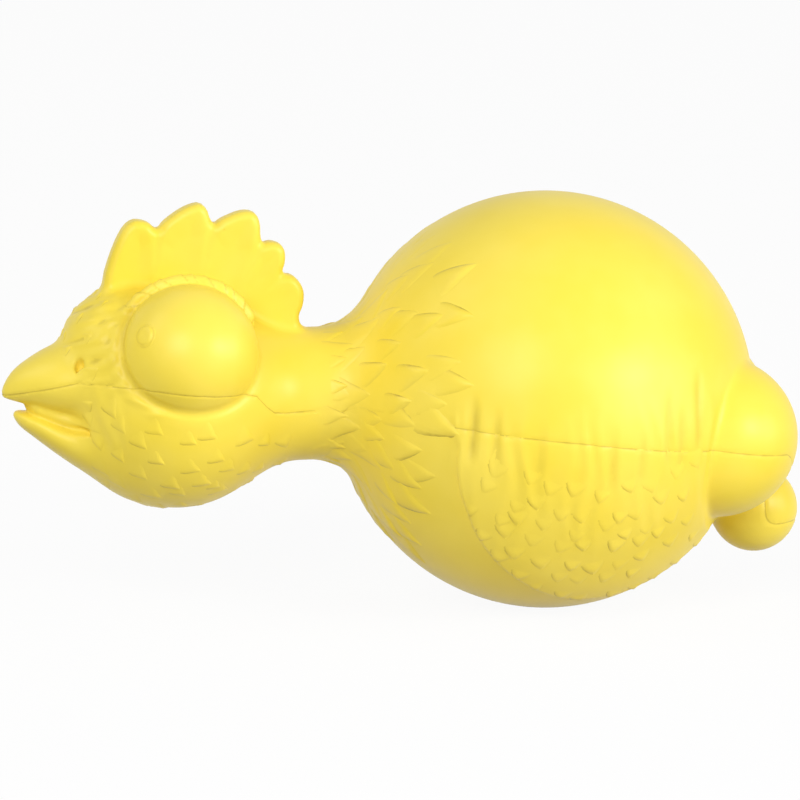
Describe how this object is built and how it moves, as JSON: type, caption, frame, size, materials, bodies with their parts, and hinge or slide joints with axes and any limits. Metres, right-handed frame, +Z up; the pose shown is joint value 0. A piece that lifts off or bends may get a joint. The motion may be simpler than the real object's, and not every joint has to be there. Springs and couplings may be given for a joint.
{
  "type": "rubber chicken",
  "caption": "Squeaky rubber chicken with a ball-shaped body, a bending neck, a large combed head and a bulb squeaker inside its filling.",
  "frame": {"origin": "on the table under the middle plane, midway between the tip of the beak and the end of the tail", "axes": "+X from the beak to the tail, +Z up through the comb, Y across; the toy is the same on both sides of Y = 0"},
  "size_m": [0.1538, 0.0802, 0.0797],
  "materials": {
    "skin_rubber": "smooth moulded yellow rubber with a soft satin sheen",
    "wadding": "off-white polyester fibre wadding",
    "bulb_plastic": "thin blown milky plastic",
    "whistle_plastic": "white moulded plastic",
    "reed_plastic": "thin red plastic strip"
  },
  "bodies": {
    "body": {"body_upper_skin": "skin_rubber", "body_lower_skin": "skin_rubber", "body_upper_wadding": "wadding", "body_lower_wadding": "wadding", "bulb_base": "bulb_plastic", "bulb_bellows": "bulb_plastic", "whistle_housing": "whistle_plastic", "whistle_grille": "whistle_plastic", "reed_seat": "whistle_plastic", "reed_clip": "whistle_plastic"},
    "neck": {"neck_upper_skin": "skin_rubber", "neck_lower_skin": "skin_rubber", "neck_wadding": "wadding"},
    "head": {"head_upper_skin": "skin_rubber", "head_lower_skin": "skin_rubber", "head_wadding": "wadding"},
    "bulb_top": {"bulb_crown": "bulb_plastic"},
    "reed": {"reed": "reed_plastic"}
  },
  "joints": [
    {"name": "neck_turn", "type": "hinge", "parent": "body", "child": "neck", "pos_m": [-0.01425, 0, 0.04239], "axis": [0, 0, 1], "range_deg": [-25, 25], "stiffness_Nm_per_rad": 0.5, "deforming": ["neck_upper_skin", "neck_lower_skin", "neck_wadding"]},
    {"name": "head_nod", "type": "hinge", "parent": "neck", "child": "head", "pos_m": [-0.01925, 0, 0.04239], "axis": [0, 1, 0], "range_deg": [-20, 20], "stiffness_Nm_per_rad": 0.5, "deforming": ["neck_upper_skin", "neck_lower_skin", "neck_wadding"]},
    {"name": "bulb_squeeze", "type": "slide", "parent": "body", "child": "bulb_top", "axis": [0, 0, -1], "range_m": [0, 0.009], "stiffness_N_per_m": 300, "deforming": ["bulb_bellows"]},
    {"name": "reed_flutter", "type": "hinge", "parent": "body", "child": "reed", "pos_m": [0.0278, 0, 0.01405], "axis": [0, -1, 0], "range_deg": [0, 4], "stiffness_Nm_per_rad": 0.0005, "deforming": ["reed"]}
  ]
}
